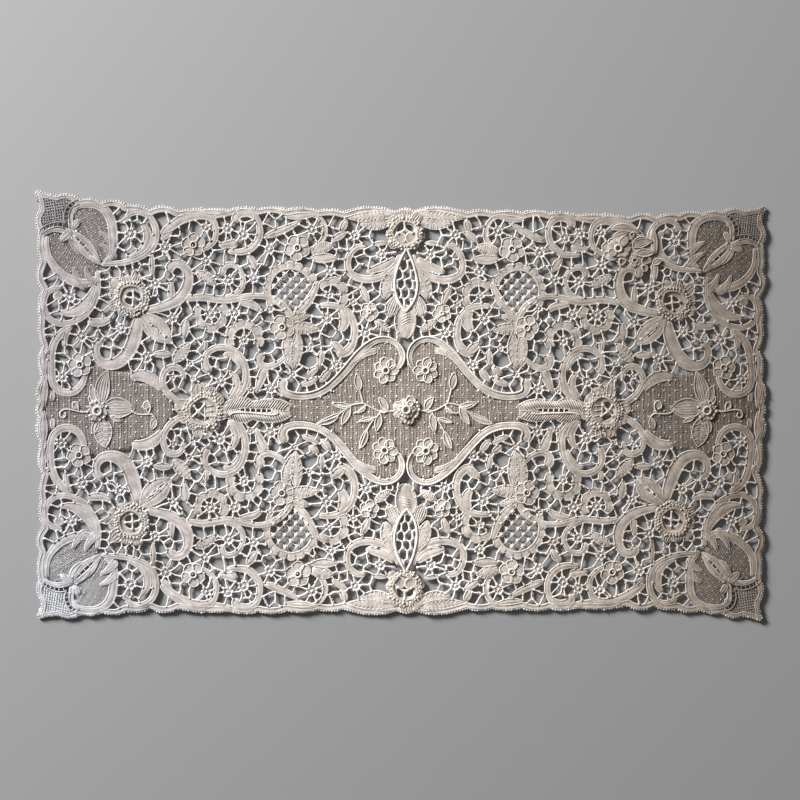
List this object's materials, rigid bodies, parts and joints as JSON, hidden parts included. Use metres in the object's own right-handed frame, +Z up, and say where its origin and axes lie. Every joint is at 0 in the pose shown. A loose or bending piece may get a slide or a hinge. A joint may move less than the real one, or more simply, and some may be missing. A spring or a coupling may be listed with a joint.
{
  "type": "needle lace doily",
  "caption": "Oblong needle lace doily lying flat: scrolls, leaves and flowers on an openwork ground, with fine net panels, raised flowers and a scalloped picot edge.",
  "frame": {"origin": "middle of the outer box, on the underside that lies on the table", "axes": "+X along the doily, +Y across it, +Z up from the table through its right side"},
  "size_m": [0.4494, 0.265, 0.0049],
  "materials": {
    "ivory_thread": "ivory linen thread, close needle stitches and corded outlines",
    "net_thread": "fine open net of thin thread, greyish where it is sheer",
    "cream_thread": "thick cream thread in raised looped stitches"
  },
  "bodies": {
    "root": {"lace_ground": "ivory_thread", "net_medallion": "net_thread", "net_end_left": "net_thread", "net_end_right": "net_thread", "net_pod_front_left_a": "net_thread", "net_pod_front_left_b": "net_thread", "net_pod_back_left_a": "net_thread", "net_pod_back_left_b": "net_thread", "net_pod_front_right_a": "net_thread", "net_pod_front_right_b": "net_thread", "net_pod_back_right_a": "net_thread", "net_pod_back_right_b": "net_thread", "corner_flower_back_left": "cream_thread", "corner_flower_front_left": "cream_thread", "corner_flower_back_right": "cream_thread", "corner_flower_front_right": "cream_thread", "end_flower_left": "cream_thread", "end_flower_right": "cream_thread", "side_flower_back": "cream_thread", "side_flower_front": "cream_thread", "middle_flower": "cream_thread", "flower_bunch": "cream_thread"}
  },
  "joints": []
}
